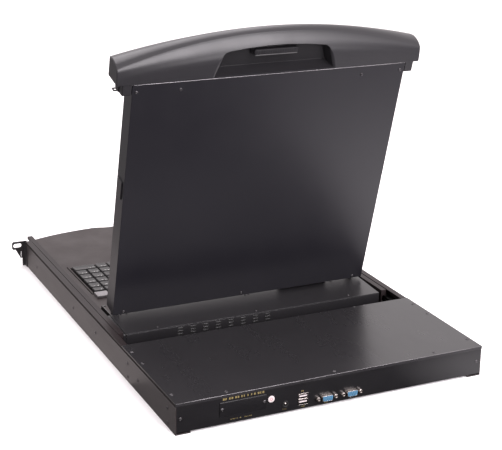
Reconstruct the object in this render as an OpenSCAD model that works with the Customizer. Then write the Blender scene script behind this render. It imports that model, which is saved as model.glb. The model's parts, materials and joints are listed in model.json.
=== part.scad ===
// Rack-mounted console drawer: a one-unit chassis, a sliding keyboard tray and a flip-up
// screen. X is the user's right, Y points to the rear panel, Z is up. Millimetres.

/* [Chassis] */
// Width over the two side panels
body_w = 440; // [436:1:444]
// Height from the feet to the top of the rear cover
body_h = 42.4; // [42:0.1:43.6]
// Length from the rack plane to the rear panel
body_l = 650; // [640:5:700]
// Length of the covered box behind the tray
box_l = 190; // [180:1:192]
// Thickness of the steel sheet
sheet = 1.2; // [1:0.1:1.4]
// Width over the two rack ears
rack_w = 482.6; // [480:0.1:484]
// Distance between the rack ears' slot centres
rack_pitch = 465.1; // [464:0.1:466]

/* [Drawer] */
// How far the tray stands out from its home position
tray_out = 24; // [10:1:40]
// Height of the palm rest above the feet
deck_z = 9.6; // [9.4:0.1:9.8]
// Height of the key tops above the feet
key_z = 14; // [13:0.1:14.2]
// Half the width of the key field
keys_half = 166.8; // [160:0.1:167]
// Front to back pitch of the key rows
row_pitch = 20; // [19:0.1:20]
// How far the front of the palm rest reaches past the rack plane
palm_reach = 116; // [110:1:118]

/* [Display] */
// Width of the rear cover of the screen
lid_w = 395.7; // [390:0.1:396]
// Height of the rear cover of the screen
lid_l = 359; // [350:1:359]
// Thickness of the screen housing
lid_t = 26.5; // [24:0.5:26.5]
// Angle the screen is turned up from closed
open_angle = 105.5; // [0:0.5:110]
// Height of the arched handle at its middle
handle_l = 57.5; // [56:0.5:59]
// How much lower the handle's front edge is than its crown
handle_fall = 4.5; // [4:0.5:6]
// Radius of the handle's arched crease over the rear cover
handle_arc = 884; // [850:2:920]
// Radius of the handle's arched edge over the screen
handle_front_arc = 922; // [900:2:1000]

/* [Hidden] */
$fn = 48;
half_w = body_w / 2;
box_y = body_l - box_l;
slide_z = 18;
rail_top = body_h - 1;
rail_z = rail_top - 1;
panel_top = 37.4;
ear_z = 34.7;
slot_r = 3.4;
tray_floor = 6;
tray_top = 41;
tray_x = 202;
tray_front = -tray_out;
tray_rear = 441 - tray_out;
hinge_y = 333.7;
hinge_z = 21.1;
lid_y = 303;
lid_z = 42;
hinge_edge = 351;
pin_r = 4;
vga_x = [14, -21.8];
vga_z = 12.6;
jack_half = 12.5;
usb_x = 46.8;
usb_z = 16;
dc_x = 72;
dc_z = 14;
option_x = 130;
option_z = 22.8;
disc_x = 91.5;
disc_z = 24.3;
key_front = 70.5;
pad_pitch = 19.2;
key_unit = (2 * keys_half - 4 * pad_pitch - 2.4) / 14;
key_gap = 2;
handle_half = 219.5;
handle_front = -32;
handle_s = lid_l;
slide_screws_y = [62, 248.5, 351];
side_screw_spots = [[62, slide_z], [248.5, slide_z], [351, slide_z], [520, slide_z],
                    [482, 6.5], [482, 26], [624, 6.5], [624, 26]];
cover_screws_y = [485, 524, 624];
cover_screws_x = [-150, 0, 150];
lid_screws = [[191.8, 348], [132, 347], [-132, 346], [-191.9, 348], [182.5, 3.5], [2, 4.5], [-182, 3.5]];
shell_out = 5.6;
scoop_half = 70;
mid_y = (body_l + shell_out - palm_reach + palm_bow(scoop_half)) / 2;

steel = [0.13, 0.12, 0.13];
plastic = [0.10, 0.10, 0.11];
zinc = [0.72, 0.72, 0.70];
board_green = [0.05, 0.28, 0.14];

// ---------- helpers ----------

// Puts a part that is drawn from the rack plane into the frame of the whole object
module place() { translate([0, -mid_y, 0]) children(); }

// A block between pairs of limits
module block(x, y, z) {
    translate([x[0], y[0], z[0]]) cube([x[1] - x[0], y[1] - y[0], z[1] - z[0]]);
}

// Extrudes a section drawn as [x, z] along Y
module along_y(y) { translate([0, y[1], 0]) rotate([90, 0, 0]) linear_extrude(y[1] - y[0]) children(); }

// Extrudes a section drawn as [y, z] along X
module along_x(x) { translate([x[0], 0, 0]) rotate([90, 0, 90]) linear_extrude(x[1] - x[0]) children(); }

module left() { mirror([1, 0, 0]) children(); }
module both_sides() { children(); left() children(); }

// A round bar along X or Y
module bar_x(r, x) { translate([x[0], 0, 0]) rotate([0, 90, 0]) cylinder(r = r, h = x[1] - x[0]); }
module bar_y(r, y) { translate([0, y[0], 0]) rotate([-90, 0, 0]) cylinder(r = r, h = y[1] - y[0]); }

// Carries a part from the closed screen's own frame, drawn as [x, -s, off], to the open screen:
// s runs from the bottom edge of the rear cover to the handle, off is the height over its face
module on_display() {
    place() translate([0, hinge_y, hinge_z]) rotate([-open_angle, 0, 0])
        translate([0, lid_y - hinge_y, lid_z - hinge_z]) children();
}
module lid_block(x, s, off) { block(x, [-s[1], -s[0]], off); }

// ---------- chassis ----------

module side_section() {
    polygon([[half_w, 0], [half_w, panel_top], [half_w - sheet, panel_top], [half_w - sheet, sheet],
             [half_w - 20 + sheet, sheet], [half_w - 20 + sheet, 3], [half_w - 20, 3], [half_w - 20, 0]]);
}

module side_panel() {
    color(steel) place() difference() {
        union() {
            along_y([0, body_l]) side_section();
            block([half_w - 16, half_w - sheet], [body_l - 2 * sheet, body_l - sheet], [6, 32]);
        }
        for (p = side_screw_spots) translate([0, p[0], p[1]]) bar_x(1.6, [half_w - 3, half_w + 1]);
        translate([213.4, 0, 21]) bar_y(1.6, [body_l - 4, body_l]);
    }
}
module side_panel_right() { side_panel(); }
module side_panel_left() { left() side_panel(); }

module top_rail() {
    inner = half_w - 2 * sheet;
    color(steel) place() difference() {
        along_y([0, body_l - sheet])
            polygon([[half_w - 9, rail_top], [half_w, rail_top], [half_w, rail_z],
                     [half_w - sheet, rail_z], [half_w - sheet, panel_top - 5],
                     [inner, panel_top - 5], [inner, rail_z], [half_w - 9, rail_z]]);
        for (y = cover_screws_y) translate([214.5, y, rail_z - 1]) cylinder(r = 1.6, h = 3);
    }
}
module top_rail_right() { top_rail(); }
module top_rail_left() { left() top_rail(); }

// Flat pan on the lips of the two side channels, with cooling slots under the box
module base_pan() {
    color(steel) place() difference() {
        block([-203, 203], [1, body_l - 2 * sheet], [3, 4]);
        for (i = [0 : 11], y = [500, 560])
            block([-112 + 20 * i, -100 + 20 * i], [y, y + 32], [2, 5]);
    }
}

module vga_cut(x) {
    translate([x, 0, vga_z]) {
        block([-8.7, 8.7], [body_l - 4, body_l + 1], [-4.6, 4.6]);
        for (s = [-1, 1]) translate([s * jack_half, 0, 0]) bar_y(1.7, [body_l - 4, body_l + 1]);
    }
}

module rear_panel() {
    y = [body_l - sheet, body_l];
    cut = [body_l - 4, body_l + 1];
    color(steel) place() difference() {
        union() {
            block([-half_w + sheet, half_w - sheet], y, [3, rail_top]);
            block([-205, 205], [body_l - 14, body_l - sheet], [rail_top - sheet, rail_top]);
            block([-199, 199], [body_l - 12, body_l - sheet], [4, 4 + sheet]);
        }
        for (x = vga_x) vga_cut(x);
        block([usb_x - 7.4, usb_x + 7.4], cut, [usb_z - 8.1, usb_z + 8.1]);
        translate([dc_x, 0, dc_z]) bar_y(4.6, cut);
        block([option_x - 24, option_x + 24], cut, [option_z - 7, option_z + 7]);
        for (x = [-28.7, 28.7]) translate([option_x + x, 0, option_z]) bar_y(1.6, cut);
        both_sides() translate([213.4, 0, 21]) bar_y(1.6, cut);
        for (x = cover_screws_x) translate([x, body_l - 7, rail_top - 2]) cylinder(r = 1.6, h = 4);
    }
}

module top_cover() {
    front = [box_y, box_y + 1];
    color(steel) place() difference() {
        union() {
            block([-half_w, half_w], [box_y, body_l + 1], [rail_top, body_h]);
            block([-half_w, half_w], [body_l, body_l + 1], [rail_top - 3, rail_top]);
            block([-209, 209], front, [rail_top - 3.4, rail_top]);
        }
        both_sides() for (y = cover_screws_y) translate([214.5, y, rail_top - 1]) cylinder(r = 1.6, h = 3);
        for (x = cover_screws_x) translate([x, body_l - 7, rail_top - 1]) cylinder(r = 1.6, h = 3);
    }
}

// Front wall of the rear box, with a slot for the harness to the tray
module bulkhead() {
    y = box_y + 2;
    color(steel) place() {
        difference() {
            block([-203, 203], [y, y + sheet], [4, rail_z]);
            block([-60, 60], [y - 1, y + 3], [12, 26]);
        }
        block([-203, 203], [y + sheet, y + 12], [4, 4 + sheet]);
    }
}

// Front plate with a slotted lobe, a slanted lower edge and a short side leg
module rack_ear() {
    outer = rack_w / 2;
    low = ear_z - 6.5;
    high = ear_z + 6.5;
    color(steel) place() {
        difference() {
            along_y([-5, -3]) difference() {
                union() {
                    polygon([[half_w - 2.5, 0], [half_w + 5, 0], [half_w + 5, 13], [half_w + 8, 13],
                             [half_w + 16, low], [outer - 3, low], [outer, low + 3], [outer, high - 3],
                             [outer - 3, high], [half_w - 2.5, high]]);
                    for (z = [low + 3, high - 3]) translate([outer - 3, z]) circle(r = 3);
                }
                translate([half_w + 6.4, 15]) square([1, 10]);
            }
            for (s = [-slot_r, slot_r])
                translate([rack_pitch / 2 + s, 0, ear_z]) bar_y(slot_r, [-6, -2]);
            block([rack_pitch / 2 - slot_r, rack_pitch / 2 + slot_r], [-6, -2],
                  [ear_z - slot_r, ear_z + slot_r]);
        }
        block([half_w, half_w + sheet], [-3, 7], [0.5, 36.5]);
    }
}
module rack_ear_right() { rack_ear(); }
module rack_ear_left() { left() rack_ear(); }

// ---------- telescopic slides ----------

// A channel section: a web at x = web[0]..web[1] and two flanges that reach to x = tip
module channel(web, tip, half) {
    lip = sheet;
    for (s = [-1, 1]) translate([0, slide_z + s * (half - lip / 2)])
        polygon([[tip, -lip / 2], [web[tip < web[0] ? 0 : 1], -lip / 2],
                 [web[tip < web[0] ? 0 : 1], lip / 2], [tip, lip / 2]]);
    translate([web[0], slide_z - half]) square([web[1] - web[0], 2 * half]);
}

module slide_outer() {
    web = [half_w - 2 * sheet, half_w - sheet];
    color(zinc) place() difference() {
        along_y([8, 448]) channel(web, half_w - 12.5, 13);
        for (y = slide_screws_y) translate([0, y, slide_z]) bar_x(1.6, [half_w - 4, half_w]);
    }
}
module slide_outer_right() { slide_outer(); }
module slide_outer_left() { left() slide_outer(); }

module slide_mid() {
    color(zinc) place() along_y([34 - tray_out, 460 - tray_out]) channel([214.4, 215.6], 206.5, 9.3);
}
module slide_mid_right() { slide_mid(); }
module slide_mid_left() { left() slide_mid(); }

module slide_inner() {
    color(zinc) place() along_y([20 - tray_out, 440 - tray_out]) channel([203.2, 204.4], 213, 5.6);
}
module slide_inner_right() { slide_inner(); }
module slide_inner_left() { left() slide_inner(); }

// Bearing balls in their cages, in the tracks on each side of the middle member
module slide_balls() {
    color(zinc) place() both_sides() for (z = [-10.55, -6.85, 6.85, 10.55])
        translate([210.5, 0, slide_z + z]) {
            block([-0.6, 0.6], [40, 400], [-0.4, 0.4]);
            for (i = [0 : 8]) translate([0, 48 + 43 * i, 0]) sphere(r = 1.2, $fn = 24);
        }
}

// ---------- chassis electronics ----------

module chip(x, y, z, w, d, h) { block([x, x + w], [y, y + d], [z, z + h]); }

module switch_board() {
    color(board_green) place() {
        block([-120, 110], [520, 645], [5.4, 7]);
        for (x = [-112, 102], y = [545, 605]) translate([x, y, 4]) cylinder(r = 3, h = 1.4);
        chip(-60, 560, 7, 28, 28, 2);
        chip(10, 550, 7, 20, 14, 2);
        chip(50, 545, 7, 14, 20, 8);
        chip(-105, 560, 7, 12, 30, 10);
    }
}

// Fifteen-way connector: flange, shell, insert with its contact holes and two jack posts
module vga_port(x) {
    y = body_l;
    color(zinc) place() translate([x, 0, vga_z]) {
        difference() {
            union() {
                block([-8.3, 8.3], [y - 12, y + shell_out], [-4.2, 4.2]);
                block([-15.4, 15.4], [y - 2.2, y - sheet], [-6.2, 6.2]);
            }
            block([-7.6, 7.6], [y + 0.4, y + 6], [-3.5, 3.5]);
            for (s = [-1, 1]) translate([s * jack_half, 0, 0]) bar_y(1.5, [y - 3, y + 6]);
        }
        difference() {
            block([-7, 7], [y + 0.4, y + 4.8], [-2.9, 2.9]);
            for (r = [-1 : 1], i = [-2 : 2])
                translate([2.3 * i + 0.6 * r, 0, 1.9 * r]) bar_y(0.5, [y + 2, y + 5]);
        }
        for (s = [-1, 1]) translate([s * jack_half, 0, 0]) difference() {
            union() {
                bar_y(2.6, [y, y + 5], $fn = 6);
                bar_y(1.5, [y - 4, y]);
            }
            bar_y(1.1, [y - 3, y + 6]);
        }
    }
}
module vga_port_1() { vga_port(vga_x[0]); }
module vga_port_2() { vga_port(vga_x[1]); }

module usb_ports() {
    y = body_l;
    color(zinc) place() translate([usb_x, 0, usb_z]) difference() {
        union() {
            block([-7.2, 7.2], [y - 14, y + 0.8], [-7.9, 7.9]);
            block([-5, 5], [y - 13, y - 8], [7 - usb_z, -7.9]);
        }
        for (z = [-5.9, 1.5]) difference() {
            block([-6.4, 6.4], [y - 10, y + 1], [z, z + 4.6]);
            block([-5.6, 5.6], [y - 10, y], [z + 2.6, z + 4.2]);
        }
    }
}

module dc_jack() {
    y = body_l;
    color(plastic) place() translate([dc_x, 0, dc_z]) {
        difference() {
            union() {
                bar_y(4.4, [y - 11, y + 1.2]);
                bar_y(5.6, [y - 4, y - sheet]);
            }
            bar_y(2.9, [y - 9, y + 2]);
        }
        bar_y(1, [y - 10, y]);
    }
}

module option_cover() {
    color(steel) place() translate([option_x, 0, option_z]) difference() {
        block([-32, 32], [body_l, body_l + 1], [-9.5, 9.5]);
        for (x = [-28.7, 28.7]) translate([x, 0, 0]) bar_y(1.6, [body_l - 1, body_l + 2]);
    }
}

module seal_disc() {
    color("white") place() translate([disc_x, 0, disc_z]) bar_y(4.8, [body_l, body_l + 0.5]);
}

// Pan-head screw with its head at z > 0
module screw(head = 2.8, shank = 4) {
    cylinder(r1 = head, r2 = head * 0.7, h = 1.1);
    if (shank > 0) translate([0, 0, -shank]) cylinder(r = 1.45, h = shank);
}

module case_screws() {
    color(zinc) place() {
        both_sides() {
            for (p = side_screw_spots) translate([half_w, p[0], p[1]]) rotate([0, 90, 0]) screw(shank = 2.3);
            for (y = cover_screws_y) translate([214.5, y, body_h]) screw(shank = 2.4);
            translate([213.4, body_l, 21]) rotate([-90, 0, 0]) screw();
        }
        for (x = cover_screws_x) translate([x, body_l - 7, body_h]) screw(shank = 2.4);
        for (x = [203.5, -131, -146]) translate([x, box_y, rail_top - 1.7]) rotate([90, 0, 0]) screw(1.6, 0);
        for (x = [-28.7, 28.7]) translate([option_x + x, body_l + 1, option_z]) rotate([-90, 0, 0]) screw();
    }
}

// ---------- drawer ----------

module drawer_floor() {
    color(steel) place() block([-tray_x, tray_x], [tray_front, tray_rear], [tray_floor - 1, tray_floor]);
}

module drawer_side() {
    color(steel) place() {
        along_y([tray_front, tray_rear])
            polygon([[tray_x, tray_floor - 1], [tray_x + sheet, tray_floor - 1],
                     [tray_x + sheet, tray_top - 1.1],
                     [208.8, tray_top - 1.1], [208.8, 36.5], [210, 36.5], [210, tray_top], [tray_x, tray_top]]);
        block([tray_x, 210], [tray_rear - sheet, tray_rear], [32.2, tray_top]);
    }
}
module drawer_side_right() { drawer_side(); }
module drawer_side_left() { left() drawer_side(); }

module drawer_rear_wall() {
    color(steel) place() difference() {
        block([-198, 198], [tray_rear - sheet, tray_rear], [tray_floor, 36.9]);
        for (i = [0 : 7], z = [23.4, 27.8, 32.2])
            translate([118.7 - 19.15 * i, 0, z])
                block([-4.5, 4.5], [tray_rear - 3, tray_rear + 1], [0, 2.8]);
    }
}

// Sloping cover over the wiring behind the screen's hinges, with a front lip and two cheeks
module hinge_cover() {
    color(steel) place() {
        along_x([-198, 198])
            polygon([[hinge_edge, 30], [hinge_edge + sheet, 30], [hinge_edge + sheet, 40.1],
                     [tray_rear, 36.9], [tray_rear, 38.2], [hinge_edge, 41.4]]);
        both_sides() along_x([196.8, 198])
            polygon([[hinge_edge, tray_floor + 1], [tray_rear - sheet, tray_floor + 1],
                     [tray_rear - sheet, 37], [hinge_edge, 40.2]]);
    }
}

// Fall of the palm rest's front edge from its middle, and the finger scoop in the middle
function palm_bow(x) = 3.6e-4 * pow(x, 2) + 1.2e-8 * pow(x, 4);
function scoop(x) = abs(x) > scoop_half ? 0
    : 7 * (0.5 + 0.5 * cos(180 * max(0, abs(x) - 40) / (scoop_half - 40)));
function palm_edge(reach) = [for (i = [-41 : 41]) [5 * i, -reach + palm_bow(5 * i) + scoop(5 * i)]];

module palm_outline(reach, back) {
    polygon(concat([[-205, back]], palm_edge(reach), [[205, back]]));
}

module latch_pocket() { block([-14, 14], [-97, -77], [3, deck_z + 1]); }

module keyboard_deck() {
    skin = deck_z - 1.4;
    color(plastic) place() difference() {
        union() {
            translate([0, 0, skin]) linear_extrude(1.4) palm_outline(palm_reach, tray_front - 0.6);
            block([-tray_x + 0.2, tray_x - 0.2], [tray_front - 0.6, 300], [skin, deck_z]);
            both_sides() block([tray_x - 1.6, tray_x - 0.2], [tray_front, 300], [tray_floor, skin]);
            block([-tray_x + 1, tray_x - 1], [298.6, 300], [tray_floor, skin]);
        }
        block([-170.4, 170.4], [60, 188], [tray_floor + 0.2, deck_z + 1]);
        block([-34.4, 34.4], [-14.4, 34.4], [tray_floor + 0.2, deck_z + 1]);
        for (x = [-34.4, 0.4]) block([x, x + 34], [-27, -16], [tray_floor + 0.2, deck_z + 1]);
        latch_pocket();
    }
}

module lower_handle() {
    color(plastic) place() difference() {
        translate([0, 0, 1]) linear_extrude(deck_z - 2.4) palm_outline(palm_reach - 1.5, tray_front - 0.6);
        latch_pocket();
        block([-34, 34], [-26.9, -16], [tray_floor, deck_z]);
    }
}

// Keyboard plate with a raised rim round the key field
module keyboard_base() {
    color(plastic) place() difference() {
        block([-170, 170], [60.4, 187.6], [tray_floor, deck_z + 1]);
        block([-keys_half - 0.8, keys_half + 0.8], [68.5, 187], [tray_floor + 1.4, deck_z + 2]);
    }
}

module indicator_panel() {
    color("silver") place() block([148, 168], [188.5, 208], [deck_z, deck_z + 3.6]);
}

module touchpad() {
    color(plastic) place() {
        block([-34, 34], [-14, 34], [deck_z - 1, deck_z - 0.2]);
        block([-30, 30], [-10, 30], [tray_floor, deck_z - 1]);
    }
}

module hinge_bore() { translate([0, hinge_y, hinge_z]) bar_x(pin_r, [165, 200]); }

// Bracket for one screen hinge: foot, pin upright and an outer cheek inside the screen's swing
module hinge_bracket() {
    difference() {
        union() {
            block([172, 196], [318, 349], [tray_floor, tray_floor + 2]);
            along_x([178, 183.5]) union() {
                translate([hinge_y, hinge_z]) circle(r = 11);
                translate([hinge_y - 11, tray_floor + 2]) square([22, hinge_z - tray_floor - 2]);
            }
            along_x([195, 196.4]) cheek_outline();
            intersection() {
                block([190.5, 196.4], [306, 350], [tray_floor, 41]);
                along_x([190.5, 196.4]) difference() {
                    cheek_outline();
                    translate([hinge_y, hinge_z]) circle(r = 28.6);
                    translate([306, tray_floor - 1]) square([44, 33.4]);
                }
            }
        }
        hinge_bore();
    }
}
module cheek_outline() {
    intersection() {
        translate([hinge_y, hinge_z]) circle(r = 30.2, $fn = 96);
        translate([306, tray_floor]) square([44, 34.4]);
    }
}
module hinge_brackets() { color(zinc) place() both_sides() hinge_bracket(); }

module hinge_pins() {
    color(zinc) place() both_sides() translate([0, hinge_y, hinge_z]) {
        bar_x(pin_r, [174, 196.4]);
        bar_x(6.5, [172.5, 178]);
    }
}

module control_board() {
    color(board_green) place() {
        block([-150, 60], [360, 408], [12, 13.6]);
        for (x = [-144, 54], y = [365, 403]) translate([x, y, tray_floor]) cylinder(r = 3, h = 6);
        chip(-80, 372, 13.6, 20, 20, 2);
        chip(-20, 370, 13.6, 30, 8, 6);
        chip(20, 385, 13.6, 18, 12, 5);
    }
}

// ---------- keys ----------

// Sum of the first n widths of a list of key widths
function run(w, n) = n <= 0 ? 0 : w[n - 1] + run(w, n - 1);

// One key cap that covers a cell, less the gap round it
module key_cap(x, y) {
    g = key_gap / 2;
    block([x[0] + g, x[1] - g], [y[0] + g, y[1] - g], [deck_z + 0.4, key_z]);
}

// A row of caps with widths in key units, starting from a column
module key_row(row, widths, start = 0, depth = row_pitch) {
    y = key_front + row * row_pitch;
    for (i = [0 : len(widths) - 1]) {
        x = -keys_half + key_unit * (start + run(widths, i));
        key_cap([x, x + key_unit * widths[i]], [y, y + depth]);
    }
}

ones = function(n) [for (i = [1 : n]) 1];
fn_depth = 16;
pad_x = keys_half - 4 * pad_pitch;

module function_keys() {
    color(plastic) place() {
        key_row(5, ones(14), depth = fn_depth);
        for (i = [0 : 3]) key_cap([pad_x + pad_pitch * i, pad_x + pad_pitch * (i + 1)],
                                  [key_front + 5 * row_pitch, key_front + 5 * row_pitch + fn_depth]);
    }
}
module number_keys() { color(plastic) place() key_row(4, concat(ones(12), [2])); }
module upper_keys() { color(plastic) place() key_row(3, concat([1.5], ones(11), [1.5])); }
module home_keys() { color(plastic) place() key_row(2, concat([1.75], ones(10), [2.25])); }
module lower_keys() { color(plastic) place() key_row(1, concat([2.25], ones(9), [1.75, 1])); }
module bottom_keys() {
    color(plastic) place() {
        key_row(0, [1, 1, 1.25, 1.25]);
        key_row(0, ones(5), start = 9);
    }
}
module space_bar() { color(plastic) place() key_row(0, [4.5], start = 4.5); }

// Keypad of four columns, with one wide key at the outer end of its front row
module keypad_keys() {
    color(plastic) place() {
        for (c = [0 : 3], r = [1 : 4]) pad_key([c, c + 1], [r, r + 1]);
        for (c = [0, 1]) pad_key([c, c + 1], [0, 1]);
        pad_key([2, 4], [0, 1]);
    }
}
module pad_key(c, r) {
    key_cap([pad_x + pad_pitch * c[0], pad_x + pad_pitch * c[1]],
            [key_front + row_pitch * r[0], key_front + row_pitch * r[1]]);
}

module touchpad_button(x) {
    color(plastic) place() block([x, x + 33.2], [-26.6, -16.4], [deck_z - 2.2, deck_z + 0.2]);
}
module touchpad_button_left() { touchpad_button(-34); }
module touchpad_button_right() { touchpad_button(0.8); }

// ---------- display ----------

module lid_screw_holes(r, off) {
    for (p = lid_screws) translate([p[0], -p[1], off[0]]) cylinder(r = r, h = off[1] - off[0]);
}

// Folded rear cover: face, four walls, screw bosses; slots for the hinge arms and the wiring
module display_rear_cover() {
    x = lid_w / 2;
    deep = 2 - lid_t;
    color(steel) on_display() difference() {
        union() {
            lid_block([-x, x], [0, lid_l], [-sheet, 0]);
            both_sides() lid_block([x - sheet, x], [0, lid_l], [deep, -sheet]);
            lid_block([-x + sheet, x - sheet], [0, sheet], [deep, -sheet]);
            lid_block([-x + sheet, x - sheet], [lid_l - sheet, lid_l], [deep, -sheet]);
            lid_screw_holes(3.2, [-8, -sheet]);
        }
        lid_screw_holes(1.45, [-7, 1]);
        both_sides() lid_block([183.6, 190.4], [-1, 3], [deep - 1, -12]);
        lid_block([-140, -75], [-1, 3], [-22, -16]);
    }
}

osd_x = [-50, -30, -10, 10, 30];
osd_s = 26;
power_x = 150;

module display_bezel() {
    x = lid_w / 2;
    color(plastic) on_display() difference() {
        lid_block([-x, x], [0, lid_l], [-lid_t, 2 - lid_t]);
        lid_block([-169.5, 169.5], [56, 327], [-lid_t - 1, 3 - lid_t]);
        for (bx = osd_x) translate([bx, -osd_s, -lid_t - 1]) cylinder(r = 4.4, h = 4);
        translate([power_x, -osd_s, -lid_t - 1]) cylinder(r = 5.9, h = 4);
    }
}

module lcd_panel() {
    color([0.05, 0.06, 0.08]) on_display() lid_block([-179.3, 179.3], [42, 340], [2.1 - lid_t, -9]);
}

module display_board() {
    color(board_green) on_display() {
        lid_block([-90, 70], [120, 210], [-5.8, -4.2]);
        for (x = [-84, 64], s = [126, 204]) translate([x, -s, -4.2]) cylinder(r = 2.5, h = 4.2 - sheet);
        lid_block([-20, 10], [150, 180], [-8, -5.8]);
        lid_block([-70, -40], [130, 140], [-8.4, -5.8]);
    }
}

// Arched edge of the handle at x, as a distance from the bottom of the screen
function arch(x, r, top) = top - r + sqrt(pow(r, 2) - pow(x, 2));
module handle_outline(half, back, r, top) {
    steps = 36;
    polygon(concat([[half, -back]],
                   [for (i = [0 : steps]) let (x = half - 2 * half * i / steps) [x, -arch(x, r, top)]],
                   [[-half, -back]]));
}

// Outlines through the handle's thickness, rear to front: place, arch radius, fall below its top
handle_levels = [[0.9, 1059, 33.5], [-1.5, 1277, 22.5], [-5, 1106, 13.2], [-9.3, 965, 7.1], [-13, handle_arc, 3.4],
                 [-18, 840, 0.9], [-24, 831, 0], [handle_front, handle_front_arc, handle_fall]];

// Body of the handle, less a margin: a blend of its outlines with a rounded crown
module handle_solid(margin) {
    hull() for (l = handle_levels)
        translate([0, 0, l[0] + (l[0] > -16 ? -margin : margin)]) linear_extrude(0.1)
            handle_outline(handle_half - margin, handle_s + margin, l[1], handle_s + handle_l - margin - l[2]);
}

// Latch recess in the rear face: slanted ends, an arched top and a sill that slopes in
module recess_outline(grow) {
    polygon(concat([[86.5 + grow, -handle_s - 1 + grow]],
                   [for (i = [-12 : 12]) let (x = -i / 12 * (75 + grow)) [x, -399 - grow + pow(x, 2) / 980]],
                   [[-86.5 - grow, -handle_s - 1 + grow]]));
}
module recess_space(deep) {
    difference() {
        translate([0, 0, deep]) linear_extrude(20) recess_outline(0);
        along_x([-90, 90])
            polygon([[-handle_s + 2, 0.5], [-handle_s - 0.5, 0.5], [-handle_s - 8, deep], [-handle_s - 8, deep - 1],
                     [-handle_s + 2, deep - 1]]);
    }
}

module upper_handle() {
    wall = 2.6;
    recess = -16;
    color(plastic) on_display() {
        difference() {
            union() {
                difference() {
                    handle_solid(0);
                    handle_solid(wall);
                }
                intersection() {
                    translate([0, 0, recess - wall]) linear_extrude(wall - recess) recess_outline(wall);
                    handle_solid(0);
                }
            }
            recess_space(recess);
            lid_block([-12, 12], [378, 396.5], [handle_front - 1, recess + 1]);
        }
        both_sides() lid_block([198.2, 211.5], [344, handle_s], [-lid_t, 0]);
    }
}

// Sliding catch in the recess with a hook that reaches down to the palm rest
module handle_latch() {
    color(plastic) on_display() {
        lid_block([-33, 33], [383, 393.5], [-15.4, -4]);
        lid_block([-8, 8], [387, 392], [-36, -15.4]);
        lid_block([-8, 8], [392, 394.5], [-36, -34]);
    }
}

// Arm from the hinge pin into the screen, with a hub, a rib and a foot on the rear cover
module hinge_arm() {
    s0 = lid_y - hinge_y;
    off0 = hinge_z - lid_z;
    difference() {
        union() {
            along_x([184, 190]) {
                translate([-s0, off0]) circle(r = 10);
                polygon([[34, -13], [-25, -13], [-25, -24], [4, -24], [27, -30.5]]);
            }
            lid_block([184, 190], [9, 25], [-13, -sheet]);
            lid_block([174, 190], [12, 25], [-3.2, -sheet]);
        }
        translate([0, -s0, off0]) bar_x(pin_r + 0.05, [183, 191]);
    }
}
module hinge_arms() { color(zinc) on_display() both_sides() hinge_arm(); }

module cable_shroud() {
    color(plastic) on_display() difference() {
        lid_block([-145, -70], [-15, 0], [2 - lid_t, -14]);
        lid_block([-141, -74], [-13, 1], [-22.5, -16]);
    }
}

// Slotted tab that stands out below the handle's right end, and a bumper on each side lower down
module side_fittings() {
    color(steel) on_display() {
        difference() {
            lid_block([211.5, 218.5], [346.5, 348], [-19, -11]);
            lid_block([213.6, 216.9], [346, 349], [-17.4, -12.6]);
        }
        lid_block([211.5, 212.5], [345, 356], [-19, -11]);
        both_sides() lid_block([lid_w / 2, lid_w / 2 + 1.7], [187, 213], [-22, -6]);
    }
}

module display_screws() {
    color(zinc) on_display() {
        for (p = lid_screws) translate([p[0], -p[1], 0]) {
            cylinder(r1 = 2.6, r2 = 2, h = 0.8);
            translate([0, 0, -6.5]) cylinder(r = 1.4, h = 6.5);
        }
    }
}

module osd_buttons() {
    color(plastic) on_display() for (x = osd_x)
        translate([x, -osd_s, -lid_t - 1.5]) cylinder(r = 4, h = 5.5);
}

module power_button() {
    color(plastic) on_display() translate([power_x, -osd_s, -lid_t - 1.5]) cylinder(r = 5.5, h = 5.5);
}

side_panel_left();
side_panel_right();
top_rail_left();
top_rail_right();
base_pan();
rear_panel();
top_cover();
bulkhead();
rack_ear_left();
rack_ear_right();
slide_outer_left();
slide_outer_right();
switch_board();
vga_port_1();
vga_port_2();
usb_ports();
dc_jack();
option_cover();
seal_disc();
case_screws();
slide_mid_left();
slide_mid_right();
slide_balls();
drawer_floor();
drawer_side_left();
drawer_side_right();
drawer_rear_wall();
hinge_cover();
slide_inner_left();
slide_inner_right();
keyboard_deck();
lower_handle();
keyboard_base();
indicator_panel();
touchpad();
hinge_brackets();
hinge_pins();
control_board();
function_keys();
number_keys();
upper_keys();
home_keys();
lower_keys();
bottom_keys();
space_bar();
keypad_keys();
touchpad_button_left();
touchpad_button_right();
display_rear_cover();
display_bezel();
lcd_panel();
display_board();
upper_handle();
handle_latch();
hinge_arms();
cable_shroud();
side_fittings();
display_screws();
osd_buttons();
power_button();
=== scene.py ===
"""Looks of the rack console drawer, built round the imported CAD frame."""

import json
import math
import random

import bmesh
import bpy
from mathutils import Matrix, Vector


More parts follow.
